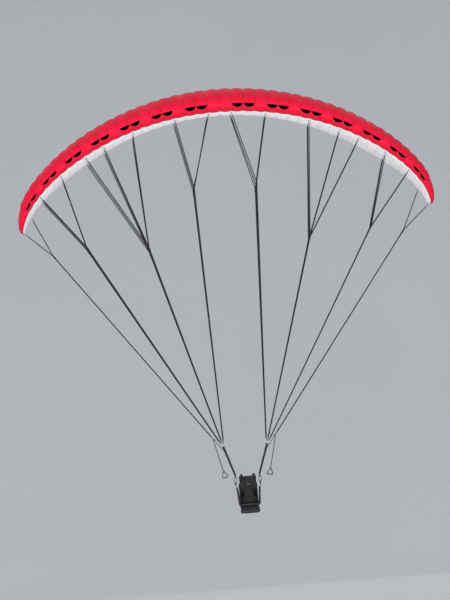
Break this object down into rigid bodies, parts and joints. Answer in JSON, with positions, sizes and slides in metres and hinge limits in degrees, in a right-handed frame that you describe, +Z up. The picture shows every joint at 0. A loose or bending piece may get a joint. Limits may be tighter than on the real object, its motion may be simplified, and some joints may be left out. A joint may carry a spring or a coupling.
{
  "type": "paraglider",
  "caption": "Arched ram-air wing in flight with line cascades, risers, brakes, a seat harness that swings under the carabiners, and a speed bar.",
  "frame": {"origin": "on top of the canopy at its centre, at a quarter of the centre chord", "axes": "+Z up, flight direction -Y, +X the pilot's left"},
  "size_m": [8.5874, 2.6999, 8.7626],
  "materials": {
    "red_cloth": "satin",
    "white_cloth": "satin",
    "line": "matte",
    "webbing": "matte",
    "red_webbing": "matte",
    "harness_cloth": "matte",
    "steel": "satin",
    "alloy": "satin",
    "plastic": "satin"
  },
  "bodies": {
    "wing": {"upper_sail": "red_cloth", "lower_sail": "white_cloth", "tip_rib_left": "red_cloth", "tip_rib_right": "red_cloth", "line_a_inner_left": "line", "line_a_middle_left": "line", "line_a_outer_left": "line", "line_b_inner_left": "line", "line_b_middle_left": "line", "line_b_outer_left": "line", "line_c_inner_left": "line", "line_c_middle_left": "line", "line_c_outer_left": "line", "line_a_inner_right": "line", "line_a_middle_right": "line", "line_a_outer_right": "line", "line_b_inner_right": "line", "line_b_middle_right": "line", "line_b_outer_right": "line", "line_c_inner_right": "line", "line_c_middle_right": "line", "line_c_outer_right": "line", "brake_line_left": "line", "brake_line_right": "line", "rapid_link_a_left": "steel", "rapid_link_b_left": "steel", "rapid_link_c_left": "steel", "rapid_link_a_right": "steel", "rapid_link_b_right": "steel", "rapid_link_c_right": "steel", "riser_left": "webbing", "riser_right": "webbing", "carabiner_left": "alloy", "carabiner_right": "alloy", "brake_pulley_left": "plastic", "brake_pulley_right": "plastic"},
    "harness": {"seat": "harness_cloth", "backrest": "harness_cloth", "airbag_protector": "harness_cloth", "side_panel_left": "harness_cloth", "side_panel_right": "harness_cloth", "hang_loop_left": "webbing", "hang_loop_right": "webbing", "shoulder_strap_left": "webbing", "shoulder_strap_right": "webbing", "leg_strap_left": "webbing", "leg_strap_right": "webbing", "chest_strap": "webbing", "chest_buckle": "plastic", "reserve_handle": "red_webbing"},
    "left_brake": {"brake_tail_left": "line", "brake_handle_left": "plastic"},
    "right_brake": {"brake_tail_right": "line", "brake_handle_right": "plastic"},
    "bar": {"speed_bar": "alloy", "speed_bar_cord_left": "line", "speed_bar_cord_right": "line"}
  },
  "joints": [
    {"name": "harness_swing", "type": "hinge", "parent": "wing", "child": "harness", "pos_m": [0, 0.1, -8.081], "axis": [1, 0, 0], "range_deg": [-35, 35]},
    {"name": "brake_left", "type": "slide", "parent": "wing", "child": "left_brake", "axis": [0.2005, 0.3181, 0.9266], "range_m": [0, 0.58], "deforming": ["brake_tail_left"]},
    {"name": "brake_right", "type": "slide", "parent": "wing", "child": "right_brake", "axis": [-0.2005, 0.3181, 0.9266], "range_m": [0, 0.58], "deforming": ["brake_tail_right"]},
    {"name": "speed_bar_swing", "type": "hinge", "parent": "harness", "child": "bar", "pos_m": [0, -0.2777, -8.566], "axis": [1, 0, 0], "range_deg": [-85, 8]}
  ]
}
